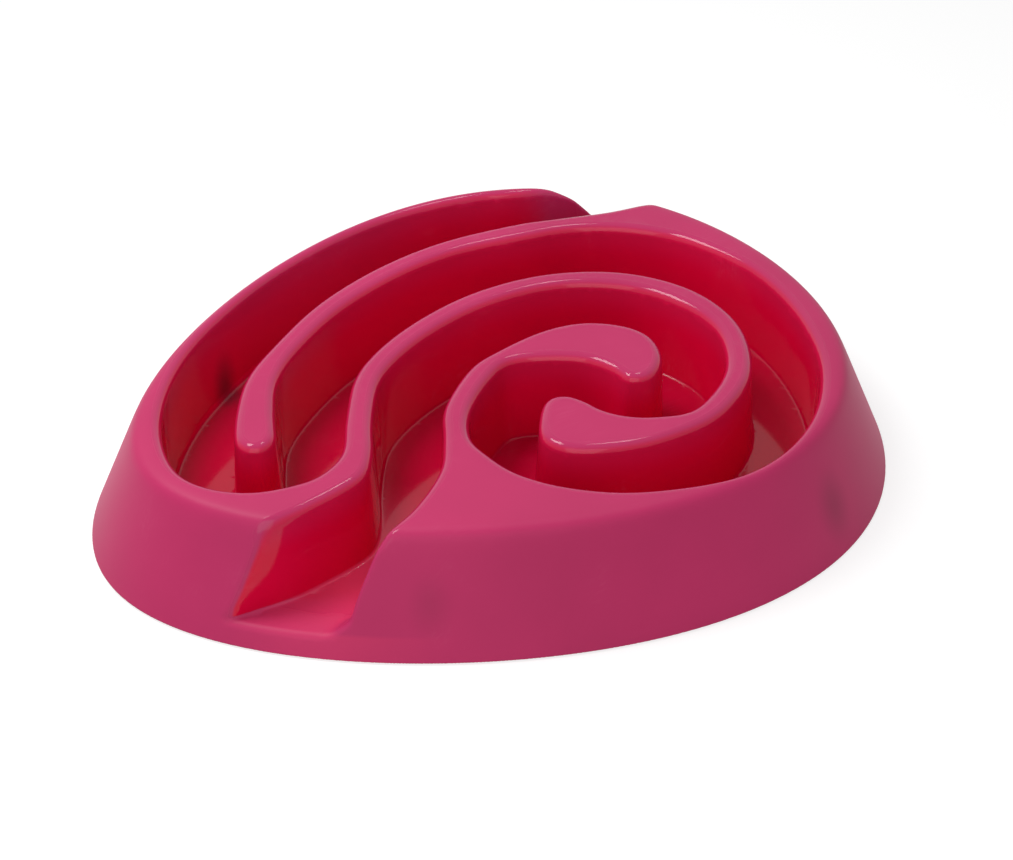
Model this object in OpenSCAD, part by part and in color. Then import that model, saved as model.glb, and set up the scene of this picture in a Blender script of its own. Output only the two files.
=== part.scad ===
// Slow feeder bowl: an egg-shaped shell with one winding food channel that
// enters at the front left, turns round two hooks and a long wall, and leaves at the back right.
// Origin: middle of the egg's length and width, on the ground. +X runs to the blunt end.

/* [Outer form] */
// Length of the foot of the skirt
base_length = 400; // [370:1:430]
// Width of the foot of the skirt at its widest
base_width = 343; // [320:1:370]
// How far the skirt leans in from its foot to the height of the top
skirt_lean = 24; // [20:0.5:26]
// Height from the ground to the top
bowl_height = 56; // [48:1:66]
// How much blunter the right end is than the left end
egg_share = 0.226; // [0.2:0.01:0.26]
// Radius of the outer top edge
rim_radius = 10; // [5:0.5:12]

/* [Channel] */
// Height of the channel floor above the ground
floor_height = 10.5; // [8:0.5:14]
// Thickness of the free-standing walls at the top
wall_width = 13; // [12:0.5:14]
// Draft angle of the channel walls
draft_angle = 3; // [1:0.5:4]
// Radius of the top edges along the channel
edge_radius = 4.5; // [3:0.5:5]
// Size of the bevel where walls meet the floor
foot_bevel = 1.6; // [0.8:0.1:2.5]

/* [Shell] */
// Thickness of the moulded plastic
shell_wall = 3; // [2.4:0.1:3.4]
// Height of the lower edge of the skirt above the ground
skirt_lift = 1.5; // [1:0.1:2.5]

/* [Feet] */
// Diameter of the moulded posts that hold the feet
post_dia = 16; // [14:0.5:18]
// Height of the posts above the ground, at their upper end
post_top = 28; // [22:1:32]
// Diameter of the rubber foot
foot_dia = 18; // [14:0.5:20]
// Thickness of the rubber foot below the post
foot_thick = 4.5; // [3.5:0.5:6]
// Radius of the foot's lower edge
foot_edge = 1; // [0.4:0.1:1.2]
// Diameter of the foot's stem
stem_dia = 8; // [6:0.5:9]
// Length of the stem above the foot
stem_length = 12; // [8:0.5:14]
// Gap between the stem and its socket, all round
stem_gap = 0.1; // [0.05:0.05:0.2]
// Distance of the foot centres from the foot of the skirt
foot_inset = 18; // [16:0.5:20]

/* [Hidden] */
overrun = 5;
ring_steps = 72;
span_steps = 3;
arc_steps = 3;
shell_colour = [0.75, 0.09, 0.25];
rubber_colour = [0.10, 0.10, 0.11];

half_length = base_length / 2;
half_width = base_width / 2;

// Angle of the skirt from the vertical
lean_angle = atan(skirt_lean / (bowl_height - skirt_lift));

// The widest place of the egg curve, so that its width comes out as named
peak_cos = (sqrt(1 + 8 * egg_share * egg_share) - 1) / (4 * egg_share);
peak_factor = sqrt(1 - peak_cos * peak_cos) * (1 + egg_share * peak_cos);

// Centre lines of the three free-standing walls: shares of half the length, of half the width,
// and of the wall thickness there
long_wall_shares = [
    [0.40, 0.55, 1.1], [0.20, 0.58, 1], [0, 0.55, 1], [-0.20, 0.468, 1],
    [-0.375, 0.343, 1], [-0.485, 0.235, 1.2], [-0.56, 0.105, 1.42], [-0.612, -0.013, 1.45]];
outer_hook_shares = [
    [-0.432, -0.20, 1.1], [-0.36, -0.06, 1], [-0.25, 0.105, 1], [-0.075, 0.22, 1],
    [0.14, 0.28, 1], [0.34, 0.256, 1], [0.50, 0.145, 1.1], [0.59, -0.03, 1.15],
    [0.595, -0.233, 1], [0.50, -0.43, 1], [0.34, -0.547, 1]];
inner_hook_shares = [
    [-0.2125, -0.29, 1], [-0.15, -0.172, 1], [-0.03, -0.058, 1], [0.06, -0.023, 1]];

// Outlines of the two swollen hook heads, as shares of half the length and half the width
outer_head_shares = [
    [0.23, -0.494], [0.17, -0.448], [0.135, -0.39], [0.122, -0.335], [0.098, -0.283],
    [0.055, -0.264], [0.01, -0.30], [-0.05, -0.413], [-0.02, -0.506], [0.085, -0.57], [0.20, -0.596]];
inner_head_shares = [
    [0.19, 0.036], [0.30, 0.012], [0.38, -0.064], [0.41, -0.157], [0.38, -0.262],
    [0.31, -0.326], [0.255, -0.302], [0.246, -0.23], [0.197, -0.138]];

// Inner edges of the outer rim on both sides, and the channel's sides at its two mouths
front_mouth_left_shares = [
    [-1.075, -0.35], [-0.825, -0.364], [-0.70, -0.372], [-0.61, -0.36], [-0.51, -0.336],
    [-0.455, -0.303]];
left_rim_shares = [
    [-0.53, -0.236], [-0.60, -0.252], [-0.71, -0.22], [-0.79, -0.134], [-0.8175, -0.017],
    [-0.78, 0.157], [-0.69, 0.331], [-0.56, 0.488], [-0.40, 0.616], [-0.225, 0.72],
    [-0.025, 0.796], [0.175, 0.825], [0.375, 0.80], [0.50, 0.745], [0.59, 0.712],
    [0.70, 0.68], [0.825, 0.645], [1.075, 0.58]];
front_mouth_right_shares = [
    [-1.075, -0.703], [-0.825, -0.64], [-0.67, -0.596], [-0.50, -0.538], [-0.405, -0.48],
    [-0.3075, -0.387]];
right_rim_shares = [
    [-0.187, -0.407], [-0.165, -0.523], [-0.093, -0.645], [0.03, -0.753], [0.225, -0.826],
    [0.40, -0.80], [0.56, -0.689], [0.693, -0.506], [0.775, -0.279], [0.805, -0.07],
    [0.79, 0.093], [0.735, 0.262], [0.635, 0.395], [0.52, 0.474]];
back_mouth_shares = [
    [0.50, 0.561], [0.60, 0.523], [0.675, 0.499], [0.765, 0.484], [0.85, 0.472], [1.075, 0.43]];

// Directions of the four feet along the egg curve
foot_angles = [239, 301, 121, 59];

// A point of the egg curve, moved in from the foot of the skirt by a distance
function egg_point(inset, angle) = let (
    bulge = half_width / peak_factor,
    out = [bulge * (cos(angle) + egg_share * cos(2 * angle)), half_length * sin(angle)])
    [half_length * cos(angle), bulge * sin(angle) * (1 + egg_share * cos(angle))]
    - inset * out / norm(out);

function egg_ring(inset, z) = [
    for (i = [0 : ring_steps - 1]) let (p = egg_point(inset, i * 360 / ring_steps)) [p[0], p[1], z]];

function in_plan(shares) = [for (s = shares) [s[0] * half_length, s[1] * half_width]];

function reversed(points) = [for (i = [len(points) - 1 : -1 : 0]) points[i]];

// Unit direction along a list of points, at one of them
function heading(points, i) = let (
    a = points[max(i - 1, 0)],
    b = points[min(i + 1, len(points) - 1)])
    (b - a) / norm(b - a);

// One side of a wall: +1 is the left side of its travel, -1 the right side
function wall_side(shares, side) = let (path = in_plan(shares)) [
    for (i = [0 : len(path) - 1]) let (h = heading(path, i))
        path[i] + [-h[1], h[0]] * side * shares[i][2] * wall_width / 2];

// The round end of a wall, from its left side to its right side
function wall_end(shares) = let (
    path = in_plan(shares),
    last = len(path) - 1,
    h = heading(path, last),
    r = shares[last][2] * wall_width / 2)
    [for (turn = [30, 0, -30])
        path[last] + r * [h[0] * cos(turn) - h[1] * sin(turn), h[1] * cos(turn) + h[0] * sin(turn)]];

// Smooth curve through points, from the first to the last
function curve_at(a, b, c, d, u) = (2 * b + (c - a) * u + (2 * a - 5 * b + 4 * c - d) * u * u
    + (3 * b - a - 3 * c + d) * u * u * u) / 2;
function smooth_curve(points, steps) = let (last = len(points) - 1) concat(
    [for (i = [0 : last - 1], k = [0 : steps - 1])
        curve_at(points[max(i - 1, 0)], points[i], points[i + 1], points[min(i + 2, last)], k / steps)],
    [points[last]]);

// The channel's two edges, both from the front mouth to the back mouth
left_edge = smooth_curve(concat(
    in_plan(front_mouth_left_shares),
    wall_side(outer_hook_shares, -1),
    in_plan(outer_head_shares),
    reversed(wall_side(outer_hook_shares, 1)),
    in_plan(left_rim_shares)), span_steps);
right_edge = smooth_curve(concat(
    in_plan(front_mouth_right_shares),
    wall_side(inner_hook_shares, 1),
    in_plan(inner_head_shares),
    reversed(wall_side(inner_hook_shares, -1)),
    in_plan(right_rim_shares),
    wall_side(long_wall_shares, 1),
    wall_end(long_wall_shares),
    reversed(wall_side(long_wall_shares, -1)),
    in_plan(back_mouth_shares)), span_steps);
channel_outline = concat(right_edge, reversed(left_edge));

// The channel's outline moved into the channel by a distance, at a height
function channel_ring(inward, z) = let (n = len(channel_outline)) [
    for (i = [0 : n - 1]) let (
        a = channel_outline[(i + n - 1) % n],
        b = channel_outline[(i + 1) % n],
        h = (b - a) / norm(b - a))
        [channel_outline[i][0] - h[1] * inward, channel_outline[i][1] + h[0] * inward, z]];

// Triangles that fill the strip between the two edges, always across its shorter diagonal
function strip_faces(i, j, found) = let (
    more_i = i < len(right_edge) - 1,
    more_j = j < len(left_edge) - 1,
    step_i = more_i ? norm(right_edge[i + 1] - left_edge[j]) : 2 * base_length,
    step_j = more_j ? norm(right_edge[i] - left_edge[j + 1]) : 2 * base_length,
    across = len(channel_outline) - 1 - j)
    !more_i && !more_j ? found
    : step_i <= step_j ? strip_faces(i + 1, j, concat(found, [[i, i + 1, across]]))
    : strip_faces(i, j + 1, concat(found, [[i, across - 1, across]]));

// Triangles that fill a convex ring of n points
function fan_faces(n) = [for (i = [1 : n - 2]) [0, i, i + 1]];

// A closed body through rings from the lowest to the highest
module skin(rings, cap) {
    n = len(rings[0]);
    top = (len(rings) - 1) * n;
    sides = [for (k = [0 : len(rings) - 2], i = [0 : n - 1]) let (
        a = k * n + i,
        b = k * n + (i + 1) % n,
        c = a + n,
        d = b + n)
        each [[a, c, d], [a, d, b]]];
    under = [for (f = cap) [f[0], f[1], f[2]]];
    over = [for (f = cap) [top + f[0], top + f[2], top + f[1]]];
    polyhedron(points = [for (r = rings) each r], faces = concat(sides, under, over));
}

// The egg-shaped form, moved in from the outer surface by a distance
module egg_form(inside, from_z) {
    lean_inset = inside / cos(lean_angle);
    radius = rim_radius - inside;
    centre_z = bowl_height - inside - radius;
    centre_inset = (centre_z - skirt_lift) * tan(lean_angle) + lean_inset + radius / cos(lean_angle);
    rounding = [for (k = [0 : arc_steps]) let (a = lean_angle + (90 - lean_angle) * k / arc_steps)
        egg_ring(centre_inset - radius * cos(a), centre_z + radius * sin(a))];
    low_inset = (from_z - skirt_lift) * tan(lean_angle) + lean_inset;
    skin(concat([egg_ring(low_inset, from_z)], rounding), fan_faces(ring_steps));
}

// How far a channel wall has come in at a height
function wall_draft(z) = (bowl_height - edge_radius - z) * tan(draft_angle);

// The food channel with its drafted walls, rounded top edges and bevelled foot
module channel_space() {
    low = floor_height + foot_bevel;
    edge = [for (k = [0 : arc_steps]) let (a = 90 * k / arc_steps)
        channel_ring(edge_radius * (cos(a) - 1), bowl_height - edge_radius * (1 - sin(a)))];
    skin(concat(
        [channel_ring(wall_draft(low) + foot_bevel, floor_height), channel_ring(wall_draft(low), low)],
        edge,
        [channel_ring(-edge_radius, bowl_height + overrun)]),
        strip_faces(0, 0, []));
}

// The channel with the plastic round it, which the hollow underside leaves standing
module channel_wrap() {
    low = floor_height - shell_wall;
    skin([
        channel_ring(wall_draft(low) - shell_wall, low),
        channel_ring(wall_draft(bowl_height + overrun) - shell_wall, bowl_height + overrun)],
        strip_faces(0, 0, []));
}

module at_feet() {
    for (angle = foot_angles) {
        translate(egg_point(foot_inset, angle)) children();
    }
}

module bowl_shell() {
    color(shell_colour) difference() {
        egg_form(0, skirt_lift);
        channel_space();
        difference() {
            egg_form(shell_wall, skirt_lift - overrun);
            channel_wrap();
            at_feet() translate([0, 0, foot_thick]) cylinder(h = post_top - foot_thick, d = post_dia, $fn = 48);
        }
        at_feet() translate([0, 0, foot_thick - overrun])
            cylinder(h = stem_length + stem_gap + overrun, d = stem_dia + 2 * stem_gap, $fn = 48);
    }
}

module rubber_foot(angle) {
    color(rubber_colour) translate(egg_point(foot_inset, angle)) rotate_extrude($fn = 64) polygon([
        [0, 0],
        [foot_dia / 2 - foot_edge, 0],
        [foot_dia / 2, foot_edge],
        [foot_dia / 2, foot_thick],
        [stem_dia / 2, foot_thick],
        [stem_dia / 2, foot_thick + stem_length - foot_edge],
        [stem_dia / 2 - foot_edge, foot_thick + stem_length],
        [0, foot_thick + stem_length]]);
}

bowl_shell();
rubber_foot(foot_angles[0]);  // foot_front_left
rubber_foot(foot_angles[1]);  // foot_front_right
rubber_foot(foot_angles[2]);  // foot_back_left
rubber_foot(foot_angles[3]);  // foot_back_right
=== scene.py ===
import bpy
import numpy as np
import openvdb
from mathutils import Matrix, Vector, kdtree


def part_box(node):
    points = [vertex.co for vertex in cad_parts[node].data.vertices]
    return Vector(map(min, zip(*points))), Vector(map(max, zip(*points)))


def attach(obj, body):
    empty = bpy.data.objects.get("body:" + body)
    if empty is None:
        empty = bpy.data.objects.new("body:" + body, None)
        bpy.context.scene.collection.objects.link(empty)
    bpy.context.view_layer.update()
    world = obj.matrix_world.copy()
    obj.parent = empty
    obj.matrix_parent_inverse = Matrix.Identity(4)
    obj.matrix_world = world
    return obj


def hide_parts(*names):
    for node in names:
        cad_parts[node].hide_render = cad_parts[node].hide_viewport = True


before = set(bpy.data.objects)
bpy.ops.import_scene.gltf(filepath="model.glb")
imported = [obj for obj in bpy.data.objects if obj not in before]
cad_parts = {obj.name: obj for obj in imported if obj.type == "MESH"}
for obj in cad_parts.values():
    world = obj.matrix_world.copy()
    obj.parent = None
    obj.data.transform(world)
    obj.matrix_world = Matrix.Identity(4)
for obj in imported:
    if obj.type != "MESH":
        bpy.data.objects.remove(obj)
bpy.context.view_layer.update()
MM = 0.001

# Bowl shell: one injection-moulded shell of raspberry plastic, 3 mm thick and hollow underneath.
# Skirt and top are satin, the food channel and its edges are polished. The plan of the channel is
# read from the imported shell, and the soft edges and fillets of the moulding are put on here.
shell_low, shell_high = (Vector(corner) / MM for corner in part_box("bowl_shell"))
half_length = (shell_high.x - shell_low.x) / 2
half_width = (shell_high.y - shell_low.y) / 2
top_z = shell_high.z
plastic = 3.0

# Skirt and rim, in mm.
skirt_foot_z = 0.4
skirt_foot_radius = 0.8
skirt_lean = 24.0
skirt_swell = 0.35
blunter_end = 0.226
rim_softness = 2.1

# Channel: its floor, its drafted walls, and the edges along its top and foot.
floor_z = 10.5
foot_bevel = 1.6
draft = np.tan(np.radians(3.0))
edge_radius = 4.5
floor_fillet = 1.3

# The two mouths, where the channel cuts the skirt: the edge there is a lip at the floor, an upright
# corner above it, and the edge of the top. A mouth fades out between near and far, from the skirt inwards.
mouth_near = 10.0
mouth_far = 42.0
mouth_fillet = 11.0
lip_radius = 4.5
lip_rise = 12.0
corner_radius = 2.6
blunt_corner_radius = 6.5
corner_drop = 12.0
top_edge_drop = 4.0
past_skirt = 40.0

# Underside: the hollow and the posts that hold the feet.
hollow_radius = 0.8
hollow_edge_radius = 0.9
post_radius = 8.0
post_foot_z = 4.5
post_top_z = 28.0
socket_radius = 4.1
socket_top_z = 16.6

# Finish, as the satin share of the skin: 0 in the channel, rising over its edge to 1 on the top. The
# mouths' floor and the underside have their own.
mouth_satin = 1.3
mouth_satin_near = 12.0
mouth_satin_far = 36.0
mouth_satin_low = 0.4
mouth_satin_high = 1.4
mouth_edge_cut = 0.8
underside_satin = 2.0
underside_depth = 0.7

# Mesh: how finely the moulding is cast, and how it is cleaned.
voxel = 0.75
triangles_kept = 190000
flattest_slope = 0.3
nudge = 0.01
fold_passes = 8
folded_below = 0.4


def closed_curve(points, spacing, softening=0.0):
    """A smooth closed curve through the points, as dense places with their outward directions.
    Kinks shorter than the softening, in mm, are evened out."""
    ring = np.asarray(points, float)
    before, after, last = np.roll(ring, 1, 0), np.roll(ring, -1, 0), np.roll(ring, -2, 0)
    places = []
    for a, b, c, d in zip(before, ring, after, last):
        u = np.arange(0, 1, min(1, spacing / max(np.hypot(*(c - b)), spacing)))[:, None]
        places.append((2 * b + (c - a) * u + (2 * a - 5 * b + 4 * c - d) * u ** 2
                       + (3 * b - a - 3 * c + d) * u ** 3) / 2)
    places = np.concatenate(places)
    if softening:
        steps = np.linalg.norm(np.roll(places, -1, 0) - places, axis=1)
        run = np.concatenate([[0], np.cumsum(steps)])
        even = np.linspace(0, run[-1], int(run[-1] / spacing), endpoint=False)
        places = np.stack([np.interp(even, run, [*places[:, axis], places[0, axis]]) for axis in (0, 1)], 1)
        tail = int(3 * softening / spacing)
        reach = np.arange(-tail, tail + 1)
        weights = np.exp(-(reach * spacing / softening) ** 2 / 2)
        weighted = (weight * np.roll(places, shift, 0) for shift, weight in zip(reach, weights))
        places = sum(weighted) / weights.sum()
    ahead = np.roll(places, -1, 0)
    along = ahead - np.roll(places, 1, 0)
    along /= np.linalg.norm(along, axis=1)[:, None]
    turn = np.sign(np.sum(places[:, 0] * ahead[:, 1] - ahead[:, 0] * places[:, 1]))
    outward = np.stack([along[:, 1], -along[:, 0]], 1) * turn
    tree = kdtree.KDTree(len(places))
    for index, place in enumerate(places):
        tree.insert((place[0], place[1], 0), index)
    tree.balance()
    return places, outward, tree


def depth_inside(points, curve):
    """How far each point lies inside a closed curve, and the plan direction in which that grows."""
    beside_curve = 3
    places, outward, tree = curve
    nearest = np.array([tree.find((x, y, 0))[1] for x, y in points])
    offset = points - places[nearest]
    out = outward[nearest]
    drift = offset[:, 1] * out[:, 0] - offset[:, 0] * out[:, 1]
    beside = (nearest + np.sign(drift).astype(int)) % len(places)
    step = np.linalg.norm(places[beside] - places[nearest], axis=1) + 1e-6
    share = np.clip(np.abs(drift) / step, 0, 0.5)[:, None]
    out = out * (1 - share) + outward[beside] * share
    out /= np.linalg.norm(out, axis=1)[:, None]
    side = (offset * out).sum(1)
    far = np.linalg.norm(offset, axis=1)
    return -np.where(far < beside_curve, side, np.sign(side) * far), -out


def egg_plan():
    """The foot of the skirt: an egg, mirrored about the long axis and blunt towards +X."""
    angle = np.radians(np.arange(0, 360, 2.0))
    rise = np.sin(angle) * (1 + blunter_end * np.cos(angle))
    return np.stack([half_length * np.cos(angle), half_width * rise / rise.max()], 1)


def floor_plan(mesh, skirt):
    """The outline of the channel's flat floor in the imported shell, run on past the skirt at both mouths."""
    flat, level, margin_in = 0.99, 0.02, 0.5
    links = {}
    for face in mesh.polygons:
        corners = [mesh.vertices[i].co / MM for i in face.vertices]
        if face.normal.z > flat and all(abs(c.z - floor_z) < level for c in corners):
            keys = [(round(c.x, 2), round(c.y, 2)) for c in corners]
            links.update({(a, b): None for a, b in zip(keys, keys[1:] + keys[:1])})
    following = {a: b for a, b in links if (b, a) not in links}
    loop = [next(iter(following))]
    while following[loop[-1]] != loop[0]:
        loop.append(following[loop[-1]])
    loop = np.array(loop)
    skirt_at_floor = (floor_z - skirt_foot_z) * skirt_lean / (top_z - skirt_foot_z)
    at_skirt = depth_inside(loop, skirt)[0] < skirt_at_floor + margin_in
    first = next(i for i in range(len(loop)) if at_skirt[i - 1] and not at_skirt[i])
    loop, at_skirt = np.roll(loop, -first, 0), np.roll(at_skirt, -first)
    sides = [run for run in np.split(np.arange(len(loop)), np.flatnonzero(np.diff(at_skirt)) + 1)
             if not at_skirt[run[0]]]
    plan = []
    for run in sides:
        side = loop[run]
        start, end = side[0] - side[2], side[-1] - side[-3]
        plan += [side[0] + start / np.hypot(*start) * past_skirt, *side,
                 side[-1] + end / np.hypot(*end) * past_skirt]
    return np.array(plan)


def both(a, b, radius, leaning=0.0):
    """Signed distance of what lies in both of two forms, with their shared edge rounded to an arc.
    Leaning is the cosine of the angle between the directions in which the two forms face there."""
    a, b = a + radius, b + radius
    arc = np.sqrt(np.maximum(a * a + b * b - 2 * a * b * leaning, 0) / (1 - leaning * leaning))
    return np.where((a > b * leaning) & (b > a * leaning), arc, np.maximum(a, b)) - radius


def melted(a, b, softness):
    """What lies in both of two forms, with their shared edge fading slowly into either side."""
    return np.maximum(a, b) + softness * np.log1p(np.exp(-np.abs(a - b) / softness))


def ease(low, high, value):
    """0 at low, 1 at high and a smooth change between, also where high is the smaller of the two."""
    t = np.clip((value - low) / (high - low), 0, 1)
    return t * t * (3 - 2 * t)


def edge_radius_at(z, bluntness):
    """Radius of the edge along the channel: by height from the lip over the upright corner to the top."""
    blunt_from, blunt_to = 0.1, 0.6
    edge = corner_radius + (blunt_corner_radius - corner_radius) * ease(blunt_from, blunt_to, bluntness)
    edge = lip_radius + (edge - lip_radius) * ease(floor_z, floor_z + lip_rise, z)
    return edge + (edge_radius - edge) * ease(top_z - corner_drop, top_z - top_edge_drop, z)


def corner_leaning_at(z, bluntness, tilt):
    """How much wall and skirt lean into each other at that edge: the tilt of the skirt at the lip, and
    the angle of the mouth's corner above it."""
    upright_share, most, top_skin, lip_low, lip_high = 0.92, 0.75, 1, 1, 7
    corner = np.clip(bluntness * upright_share, 0, most) * ease(top_z - top_skin, top_z - corner_drop, z)
    return tilt + (corner - tilt) * ease(floor_z + lip_low, floor_z + lip_high, z)


def moulding_at(in_channel, in_skirt, from_post, z, bluntness):
    """Signed distance to the plastic, and the satin share of its skin. Bluntness is the cosine of the
    angle between the ways in which channel wall and skirt face, below 0 where their corner is sharp."""
    acute_from, acute_to = 0.1, -0.3
    at_mouth = ease(mouth_far, mouth_near, in_skirt)
    foot_run = (top_z - edge_radius - floor_z - foot_bevel) * draft + foot_bevel
    wall = (top_z - edge_radius - z) * draft - foot_run - in_channel
    fillet = floor_fillet + (mouth_fillet - floor_fillet) * at_mouth * ease(acute_from, acute_to, bluntness)
    channel = both(wall, floor_z - z, fillet)

    lean = skirt_lean / (top_z - skirt_foot_z)
    tilt = lean / np.hypot(1, lean)
    skirt = ((z - skirt_foot_z) * lean - in_skirt) / np.hypot(1, lean) - skirt_swell
    body = melted(skirt, z - top_z, rim_softness)
    footed = both(body, skirt_foot_z - z, skirt_foot_radius, -tilt)
    edge = edge_radius_at(z, bluntness)
    outside = both(footed, -channel, edge, corner_leaning_at(z, bluntness, tilt))

    post = np.maximum(from_post - post_radius, np.maximum(z - post_top_z, post_foot_z - z))
    hollow = both(body + plastic, plastic - channel, hollow_radius)
    hollow = both(hollow, -post, hollow_radius)
    socket = np.maximum(from_post - socket_radius, z - socket_top_z)
    solid = np.maximum(both(outside, -hollow, hollow_edge_radius), -socket)

    below_edge = ease(top_z - top_edge_drop, top_z - corner_drop, z)
    satin = channel / (edge * (1 - mouth_edge_cut * at_mouth * below_edge))
    on_floor = ease(floor_z + mouth_satin_high, floor_z + mouth_satin_low, z)
    matt = np.maximum(on_floor, ease(0, acute_to, bluntness))
    satin = np.maximum(satin, mouth_satin * ease(mouth_satin_far, mouth_satin_near, in_skirt) * matt)
    return solid, np.where(np.abs(hollow) < underside_depth, underside_satin, satin)


egg_curve = closed_curve(egg_plan(), spacing=0.8)
packed_floor = floor_plan(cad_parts["bowl_shell"].data, egg_curve)
floor_curve = closed_curve(packed_floor, spacing=0.5, softening=2.2)
foot_names = sorted(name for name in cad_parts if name.startswith("foot_"))
foot_centres = np.array([(sum(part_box(name), Vector()) / 2)[:2] for name in foot_names]) / MM


def plan_facts(points):
    """Depths and directions of plan points: in the channel, in the skirt, from the nearest post."""
    in_channel, channel_way = depth_inside(points, floor_curve)
    in_skirt, skirt_way = depth_inside(points, egg_curve)
    gaps = points[:, None] - foot_centres
    from_posts = np.linalg.norm(gaps, axis=2)
    near = from_posts.argmin(1)
    rows = np.arange(len(points))
    from_post = from_posts[rows, near]
    post_way = gaps[rows, near] / from_post[:, None]
    bluntness = -(channel_way * skirt_way).sum(1)
    return [in_channel, in_skirt, from_post], [channel_way, skirt_way, post_way], bluntness


def skin(places):
    """Distance to the skin of the moulding, its outward slope and its satin share at places in mm."""
    depths, ways, bluntness = plan_facts(places[:, :2])
    args = [*depths, places[:, 2], bluntness]
    distance, satin_share = moulding_at(*args)
    slopes = []
    for index in range(4):
        more, less = list(args), list(args)
        more[index], less[index] = args[index] + nudge, args[index] - nudge
        slopes.append((moulding_at(*more)[0] - moulding_at(*less)[0]) / (2 * nudge))
    plan_slope = sum(slope[:, None] * way for slope, way in zip(slopes, ways))
    return distance, np.column_stack([plan_slope, slopes[3]]), satin_share


def onto_skin(places, rounds):
    """The places moved along the slope until they lie on the skin of the moulding."""
    for _ in range(rounds):
        distance, slope, _ = skin(places)
        step = distance[:, None] * slope / np.maximum((slope ** 2).sum(1), flattest_slope)[:, None]
        places = places - np.clip(step, -voxel / 2, voxel / 2)
    return places


# The moulding is filled into a grid of distances and cast from it, then thinned out, and its
# vertices are drawn onto the exact skin.
margin = 3 * voxel
grid_low = np.array([-half_length - margin, -half_width - margin, skirt_foot_z - margin])
counts = np.ceil((np.array([half_length, half_width, top_z]) + margin - grid_low) / voxel).astype(int)
grid_x, grid_y, grid_z = (grid_low[i] + voxel * np.arange(counts[i]) for i in range(3))
plan_points = np.stack(np.meshgrid(grid_x, grid_y, indexing="ij"), -1).reshape(-1, 2)
grid_depths, _, grid_bluntness = plan_facts(plan_points)
columns = [value.reshape(counts[0], counts[1], 1).astype(np.float32)
           for value in (*grid_depths, grid_bluntness)]
field = moulding_at(*columns[:3], grid_z[None, None, :].astype(np.float32), columns[3])[0]
grid = openvdb.FloatGrid(background=margin)
grid.copyFromArray(np.clip(field, -margin, margin).astype(np.float32))
corners, triangles, quads = grid.convertToPolygons(isovalue=0.0, adaptivity=0.02)
rough_mesh = bpy.data.meshes.new("moulding_rough")
rough_mesh.from_pydata((corners * voxel + grid_low).tolist(), [], [*triangles.tolist(), *quads.tolist()])
rough = bpy.data.objects.new("moulding_rough", rough_mesh)
bpy.context.scene.collection.objects.link(rough)
thinning = rough.modifiers.new("thinning", "DECIMATE")
thinning.ratio = triangles_kept / (len(triangles) + 2 * len(quads))
shell_mesh = bpy.data.meshes.new_from_object(rough.evaluated_get(bpy.context.evaluated_depsgraph_get()))
shell_mesh.name = "bowl_shell_moulding"
bpy.data.objects.remove(rough)
places = np.empty(len(shell_mesh.vertices) * 3)
shell_mesh.vertices.foreach_get("co", places)
places = onto_skin(places.reshape(-1, 3), rounds=4)
distance, slope, satin_share = skin(places)

# Triangles that folded over on the way are opened: their corners move to the middle of their neighbours.
shell_mesh.calc_loop_triangles()
sides = np.array([triangle.vertices for triangle in shell_mesh.loop_triangles])
links = np.concatenate([sides[:, [0, 1]], sides[:, [1, 2]], sides[:, [2, 0]]])
for _ in range(fold_passes):
    facing = np.cross(places[sides[:, 1]] - places[sides[:, 0]], places[sides[:, 2]] - places[sides[:, 0]])
    outward = slope[sides].sum(1)
    lengths = np.linalg.norm(facing, axis=1) * np.linalg.norm(outward, axis=1)
    agreeing = (facing * outward).sum(1) / (lengths + 1e-9)
    folded = np.unique(sides[agreeing < folded_below])
    evened, neighbours = np.zeros_like(places), np.zeros(len(places))
    np.add.at(evened, links[:, 0], places[links[:, 1]])
    np.add.at(neighbours, links[:, 0], 1)
    places[folded] = onto_skin(evened[folded] / neighbours[folded, None], rounds=3)
    distance, slope[folded], satin_share[folded] = skin(places[folded])
shell_mesh.vertices.foreach_set("co", (places * MM).ravel())
satin_layer = shell_mesh.attributes.new("satin_share", "FLOAT", "POINT")
satin_layer.data.foreach_set("value", satin_share.astype(np.float32))
shell_mesh.validate()
shell_mesh.shade_smooth()
normals = slope / np.linalg.norm(slope, axis=1)[:, None]
shell_mesh.normals_split_custom_set_from_vertices(normals.tolist())
shell = bpy.data.objects.new("shell", shell_mesh)
bpy.context.scene.collection.objects.link(shell)
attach(shell, "root")
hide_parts("bowl_shell")


def group_sockets(name, inputs, outputs):
    """A shader node group with named sockets, and its two end nodes."""
    group = bpy.data.node_groups.new(name, "ShaderNodeTree")
    for socket, kind in inputs.items():
        group.interface.new_socket(name=socket, in_out="INPUT", socket_type=kind)
    for socket, kind in outputs.items():
        group.interface.new_socket(name=socket, in_out="OUTPUT", socket_type=kind)
    return group, group.nodes.new("NodeGroupInput"), group.nodes.new("NodeGroupOutput")


def add_node(tree, kind, links=None, **settings):
    """A node with its settings, and its inputs either joined to another output or set to a value."""
    node = tree.nodes.new(kind)
    for name, value in settings.items():
        setattr(node, name, value)
    for socket, value in (links or {}).items():
        if isinstance(value, bpy.types.NodeSocket):
            tree.links.new(value, node.inputs[socket])
        else:
            node.inputs[socket].default_value = value
    return node


def worked_out(tree, operation, *values):
    """The outcome of one sum, product or other math node."""
    return add_node(tree, "ShaderNodeMath", dict(enumerate(values)), operation=operation).outputs[0]


def spread(tree, value, low, high, at_low=0.0, at_high=1.0, kind="LINEAR"):
    """A value's range stretched onto another, evenly or with a soft start and end."""
    ends = {"Value": value, "From Min": low, "From Max": high, "To Min": at_low, "To Max": at_high}
    return add_node(tree, "ShaderNodeMapRange", ends, interpolation_type=kind).outputs[0]


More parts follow.
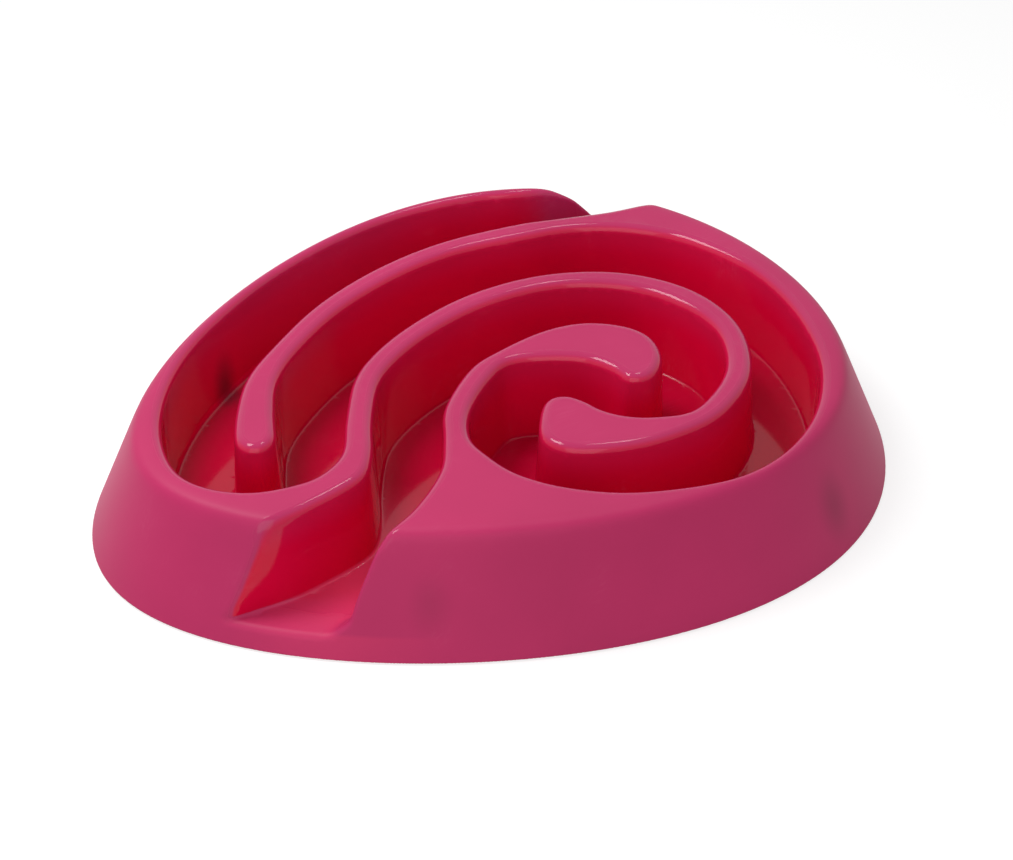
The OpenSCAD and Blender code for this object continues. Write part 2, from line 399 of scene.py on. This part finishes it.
def blended(tree, share, first, second):
    """A colour between two others."""
    ends = {"Factor": share, 6: first, 7: second}
    return add_node(tree, "ShaderNodeMix", ends, data_type="RGBA").outputs[2]


def group_output(tree, group, **values):
    """The output of a shader node group that is placed with its own values."""
    return add_node(tree, "ShaderNodeGroup", values, node_tree=group).outputs[0]


# Moulded grain: the fine spark-eroded texture of a mould, as a height in millimetres.
grain_group, grain_in, grain_out = group_sockets(
    "moulded_grain", {"Size": "NodeSocketFloat", "Depth": "NodeSocketFloat"}, {"Height": "NodeSocketFloat"})
grain_place = add_node(grain_group, "ShaderNodeTexCoord").outputs["Object"]
grain_rate = worked_out(grain_group, "DIVIDE", 1000.0, grain_in.outputs["Size"])
grain_noise = add_node(grain_group, "ShaderNodeTexNoise",
                       {"Vector": grain_place, "Scale": grain_rate,
                        "Detail": 2.0, "Roughness": 0.6}).outputs[0]
grain_height = worked_out(grain_group, "MULTIPLY", grain_noise, grain_in.outputs["Depth"])
grain_group.links.new(grain_height, grain_out.inputs["Height"])

# Handling: where a surface has been rubbed, in soft patches broken up by fine scratches.
rub_group, rub_in, rub_out = group_sockets(
    "handling", {"Patch": "NodeSocketFloat", "Cover": "NodeSocketFloat"}, {"Rubbed": "NodeSocketFloat"})
rub_place = add_node(rub_group, "ShaderNodeTexCoord").outputs["Object"]
rub_rate = worked_out(rub_group, "DIVIDE", 1000.0, rub_in.outputs["Patch"])
rub_patch = add_node(rub_group, "ShaderNodeTexNoise",
                     {"Vector": rub_place, "Scale": rub_rate, "Detail": 3.0}).outputs[0]
rub_lines = add_node(rub_group, "ShaderNodeMapping",
                     {"Vector": rub_place, "Rotation": (0, 0, 0.6), "Scale": (60, 900, 300)}).outputs[0]
rub_scratch = add_node(rub_group, "ShaderNodeTexNoise",
                       {"Vector": rub_lines, "Scale": 1.0, "Detail": 2.0}).outputs[0]
rub_low = worked_out(rub_group, "SUBTRACT", 0.8, rub_in.outputs["Cover"])
rub_where = spread(rub_group, rub_patch, rub_low, 0.85, kind="SMOOTHSTEP")
rub_fine = spread(rub_group, rub_scratch, 0.45, 0.75)
rub_group.links.new(worked_out(rub_group, "MULTIPLY", rub_where, rub_fine), rub_out.inputs["Rubbed"])

# Soft spot: strongest at its centre and fading out at its reach, a little taller than wide.
spot_group, spot_in, spot_out = group_sockets(
    "soft_spot", {"Centre": "NodeSocketVector", "Reach": "NodeSocketFloat", "Strength": "NodeSocketFloat"},
    {"Shade": "NodeSocketFloat"})
spot_place = add_node(spot_group, "ShaderNodeTexCoord").outputs["Object"]
spot_gap = add_node(spot_group, "ShaderNodeVectorMath",
                    {0: spot_place, 1: spot_in.outputs["Centre"]}, operation="SUBTRACT").outputs[0]
spot_tall = add_node(spot_group, "ShaderNodeVectorMath",
                     {0: spot_gap, 1: (1, 1, 0.55)}, operation="MULTIPLY").outputs[0]
spot_far = add_node(spot_group, "ShaderNodeVectorMath", {0: spot_tall}, operation="LENGTH").outputs["Value"]
spot_soft = spread(spot_group, spot_far, 0.0, spot_in.outputs["Reach"],
                   spot_in.outputs["Strength"], 0.0, kind="SMOOTHSTEP")
spot_group.links.new(spot_soft, spot_out.inputs["Shade"])

# Raspberry plastic: satin where the mould was eroded, and glossy where it was polished. In the channel the
# colour is deeper, as painted shade and red bounce light. Places and reaches are in metres.
satin_colour = (0.485, 0.024, 0.114, 1)
channel_shade_colour = (0.66, 0.0006, 0.038, 1)
floor_shade_colour = (0.46, 0.0005, 0.030, 1)
mouth_colour = (0.78, 0.046, 0.14, 1)
shade_colour = (0.06, 0.012, 0.022, 1)
rubbed_colour = (0.75, 0.25, 0.40, 1)
satin_roughness = 0.50
polished_roughness = 0.08
rubbed_tint = 0.10
rubbed_dulling = 0.12
sink_depth = 0.03
# Satin shares, and heights in metres, between which one look passes into the next.
polished_to, satin_from = 0.75, 1.15
deep_to, pale_from = 0.05, 0.5
channel_to, edge_from = 0.036, 0.053
floor_to, wall_from = 0.0108, 0.0125
front_mouth = {"Centre": (-0.106, -0.060, 0.0105), "Reach": 0.075, "Strength": 1.0}
post_shades = (
    {"Centre": (-0.098, -0.1187, 0.026), "Reach": 0.013, "Strength": 0.16},
    {"Centre": (0.1003, -0.1516, 0.0236), "Reach": 0.015, "Strength": 0.34},
    {"Centre": (-0.0917, 0.0962, 0.017), "Reach": 0.0135, "Strength": 0.66},
    {"Centre": (0.1003, 0.1516, 0.0236), "Reach": 0.015, "Strength": 0.34})

raspberry = bpy.data.materials.new("raspberry_plastic")
raspberry.use_nodes = True
tree = raspberry.node_tree
plastic_shader = tree.nodes["Principled BSDF"]
share = add_node(tree, "ShaderNodeAttribute", attribute_name="satin_share").outputs["Fac"]
polish = spread(tree, share, polished_to, satin_from, 1, 0, kind="SMOOTHSTEP")
# Painted shade and red bounce light: the colour deepens from the edge of the top down into the channel.
channel_shading = spread(tree, share, deep_to, pale_from, 1, 0, kind="SMOOTHSTEP")
where = add_node(tree, "ShaderNodeTexCoord").outputs["Object"]
height = add_node(tree, "ShaderNodeSeparateXYZ", {"Vector": where}).outputs["Z"]
# Painted sheen: the painted shade is weaker high on the channel walls, so their upper part stays paler.
below_top = spread(tree, height, channel_to, edge_from, 1.0, 0.7, kind="SMOOTHSTEP")
channel_shading = worked_out(tree, "MULTIPLY", channel_shading, below_top)
# Painted shade: the channel floor is darker than its walls.
on_floor = spread(tree, height, floor_to, wall_from, 1.0, 0.0)
shaded_channel = blended(tree, on_floor, channel_shade_colour, floor_shade_colour)
colour = blended(tree, channel_shading, satin_colour, shaded_channel)
# The floor is paler in the front mouth, where the light falls in from outside.
in_mouth = worked_out(tree, "MULTIPLY", on_floor, group_output(tree, spot_group, **front_mouth))
colour = blended(tree, in_mouth, colour, mouth_colour)
clouds = add_node(tree, "ShaderNodeTexNoise", {"Vector": where, "Scale": 14.0, "Detail": 3.0}).outputs[0]
clouding = spread(tree, clouds, 0.3, 0.7, 0.95, 1.05)
colour = add_node(tree, "ShaderNodeVectorMath",
                  {0: colour, "Scale": clouding}, operation="SCALE").outputs[0]
# The plastic looks darker in a soft spot where a foot's post stands close behind it.
for post_shade in post_shades:
    colour = blended(tree, group_output(tree, spot_group, **post_shade), colour, shade_colour)
rubbed = group_output(tree, rub_group, Patch=35, Cover=0.25)
colour = blended(tree, worked_out(tree, "MULTIPLY", rubbed, rubbed_tint), colour, rubbed_colour)
tree.links.new(colour, plastic_shader.inputs["Base Color"])
roughness = spread(tree, polish, 0.0, 1.0, satin_roughness, polished_roughness)
roughness = worked_out(tree, "MULTIPLY_ADD", rubbed, rubbed_dulling, roughness)
tree.links.new(roughness, plastic_shader.inputs["Roughness"])
# Grain only where the skin is satin, and the faint sink marks of the moulding everywhere.
grain = group_output(tree, grain_group, Size=0.7, Depth=0.012)
relief = worked_out(tree, "MULTIPLY", grain, worked_out(tree, "SUBTRACT", 1.0, polish))
sinks = add_node(tree, "ShaderNodeTexNoise", {"Vector": where, "Scale": 30.0, "Detail": 0.0}).outputs[0]
relief = worked_out(tree, "MULTIPLY_ADD", sinks, sink_depth, relief)
bump = add_node(tree, "ShaderNodeBump", {"Height": relief, "Distance": MM})
tree.links.new(bump.outputs[0], plastic_shader.inputs["Normal"])
plastic_shader.inputs["IOR"].default_value = 1.45
plastic_shader.inputs["Specular IOR Level"].default_value = 0.25
shell_mesh.materials.append(raspberry)

# Rubber feet: four turned plugs of black rubber, each pushed up into the post moulded above it.
# A foot has a rounded rim, and a dished sole with two grip rings round it.
foot_radius = 9.0
foot_top_z = 4.5
stem_radius = 4.0
stem_top_z = 16.5
stem_bevel = 0.6
dish_z = 0.9
sole_profile = [
    (0, dish_z), (2.6, dish_z), (3.2, 0.2), (3.8, 0), (4.4, 0.2), (4.8, 0.5), (5.2, 0.2), (5.8, 0),
    (7.4, 0), (8.3, 0.24), (8.8, 0.75), (foot_radius, 1.4), (foot_radius, 3.4), (8.8, 4.0),
    (8.3, foot_top_z), (stem_radius, foot_top_z), (stem_radius, stem_top_z - stem_bevel),
    (stem_radius - stem_bevel, stem_top_z), (0, stem_top_z)]
around = 72
rubber_colour = (0.016, 0.016, 0.018, 1)
dust_colour = (0.10, 0.095, 0.09, 1)
clean_roughness = 0.62
dusty_roughness = 0.9

rubber = bpy.data.materials.new("foot_rubber")
rubber.use_nodes = True
tree = rubber.node_tree
rubber_shader = tree.nodes["Principled BSDF"]
dusting = group_output(tree, rub_group, Patch=4, Cover=0.4)
tree.links.new(blended(tree, dusting, rubber_colour, dust_colour), rubber_shader.inputs["Base Color"])
tree.links.new(spread(tree, dusting, 0.0, 1.0, clean_roughness, dusty_roughness),
               rubber_shader.inputs["Roughness"])
rubber_grain = group_output(tree, grain_group, Size=0.35, Depth=0.02)
rubber_bump = add_node(tree, "ShaderNodeBump", {"Height": rubber_grain, "Distance": MM})
tree.links.new(rubber_bump.outputs[0], rubber_shader.inputs["Normal"])

for name, (foot_x, foot_y) in zip(foot_names, foot_centres):
    vertices, faces, rings = [], [], []
    for radius, z in sole_profile:
        if radius == 0:
            rings.append([len(vertices)])
            vertices.append((foot_x * MM, foot_y * MM, z * MM))
            continue
        rings.append(list(range(len(vertices), len(vertices) + around)))
        for step in range(around):
            turn = 2 * np.pi * step / around
            x, y = foot_x + radius * np.cos(turn), foot_y + radius * np.sin(turn)
            vertices.append((x * MM, y * MM, z * MM))
    for low, high in zip(rings, rings[1:]):
        for step in range(around):
            after = (step + 1) % around
            if len(low) == 1:
                faces.append((low[0], high[after], high[step]))
            elif len(high) == 1:
                faces.append((low[step], low[after], high[0]))
            else:
                faces.append((low[step], low[after], high[after], high[step]))
    foot_mesh = bpy.data.meshes.new(name + "_turned")
    foot_mesh.from_pydata(vertices, [], faces)
    foot_mesh.shade_smooth()
    foot_mesh.materials.append(rubber)
    foot = bpy.data.objects.new(name + "_turned", foot_mesh)
    bpy.context.scene.collection.objects.link(foot)
    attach(foot, "root")
    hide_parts(name)

# Camera: where the photograph was taken from, 35 degrees above the floor.
camera = bpy.data.objects.new("camera", bpy.data.cameras.new("camera"))
bpy.context.scene.collection.objects.link(camera)
camera.location = Vector((-500.1, -828.9, 690.8)) * MM
aim = Vector((-1.96, -27.45, 30.0)) * MM
camera.rotation_euler = (aim - camera.location).to_track_quat("-Z", "Y").to_euler()
camera.data.lens = 85.3
camera.data.sensor_width = 36
bpy.context.scene.camera = camera


def looked_at(tree):
    """1 for rays from the camera, a mirror or through glass, and 0 for those that carry light."""
    rays = add_node(tree, "ShaderNodeLightPath").outputs
    direct = worked_out(tree, "MAXIMUM", rays["Is Camera Ray"], rays["Is Glossy Ray"])
    return worked_out(tree, "MAXIMUM", direct, rays["Is Transmission Ray"])


# Floor: a white studio floor that keeps the bowl's soft shadow. The camera sees it near white.
floor_reach = 3
floor_corners = [(x * floor_reach, y * floor_reach, 0) for x, y in ((-1, -1), (1, -1), (1, 1), (-1, 1))]
floor_mesh = bpy.data.meshes.new("floor")
floor_mesh.from_pydata(floor_corners, [], [(0, 1, 2, 3)])
floor = bpy.data.objects.new("floor", floor_mesh)
bpy.context.scene.collection.objects.link(floor)
paper = bpy.data.materials.new("white_floor")
paper.use_nodes = True
tree = paper.node_tree
floor_shader = tree.nodes["Principled BSDF"]
floor_shader.inputs["Base Color"].default_value = (0.8, 0.8, 0.8, 1)
floor_shader.inputs["Roughness"].default_value = 0.9
floor_shader.inputs["Specular IOR Level"].default_value = 0.0
seen_shade = add_node(tree, "ShaderNodeBsdfDiffuse", {"Color": (0.38, 0.38, 0.38, 1)})
seen_glow = add_node(tree, "ShaderNodeEmission", {"Strength": 0.70})
seen = add_node(tree, "ShaderNodeAddShader", {0: seen_shade.outputs[0], 1: seen_glow.outputs[0]})
floor_mix = add_node(tree, "ShaderNodeMixShader",
                     {0: looked_at(tree), 1: floor_shader.outputs[0], 2: seen.outputs[0]})
tree.links.new(floor_mix.outputs[0], tree.nodes["Material Output"].inputs["Surface"])
floor_mesh.materials.append(paper)

# Studio light: white walls all round, a key softbox high up on the left behind the bowl, a small one
# on the right, and a wide weak one in front. Places and sizes are in metres, powers in watts.
softboxes = (
    ("softbox_key", (-0.26, 0.28, 0.80), 0.32, 4.3),
    ("softbox_right", (0.33, 0.20, 0.85), 0.14, 0.65),
    ("softbox_front", (-0.9, -1.1, 1.0), 1.4, 9.0))
world = bpy.data.worlds.new("studio")
bpy.context.scene.world = world
world.use_nodes = True
tree = world.node_tree
room = tree.nodes["Background"]
room.inputs["Color"].default_value = (1, 1, 1, 1)
room.inputs["Strength"].default_value = 0.38
backdrop = add_node(tree, "ShaderNodeBackground", {"Color": (1, 1, 1, 1), "Strength": 1.0})
room_mix = add_node(tree, "ShaderNodeMixShader",
                    {0: looked_at(tree), 1: room.outputs[0], 2: backdrop.outputs[0]})
tree.links.new(room_mix.outputs[0], tree.nodes["World Output"].inputs["Surface"])
for name, place, size, power in softboxes:
    lamp = bpy.data.objects.new(name, bpy.data.lights.new(name, "AREA"))
    lamp.data.size = size
    lamp.data.energy = power
    lamp.location = place
    lamp.rotation_euler = (-lamp.location).to_track_quat("-Z", "Y").to_euler()
    bpy.context.scene.collection.objects.link(lamp)

bpy.context.scene.view_settings.view_transform = "Standard"
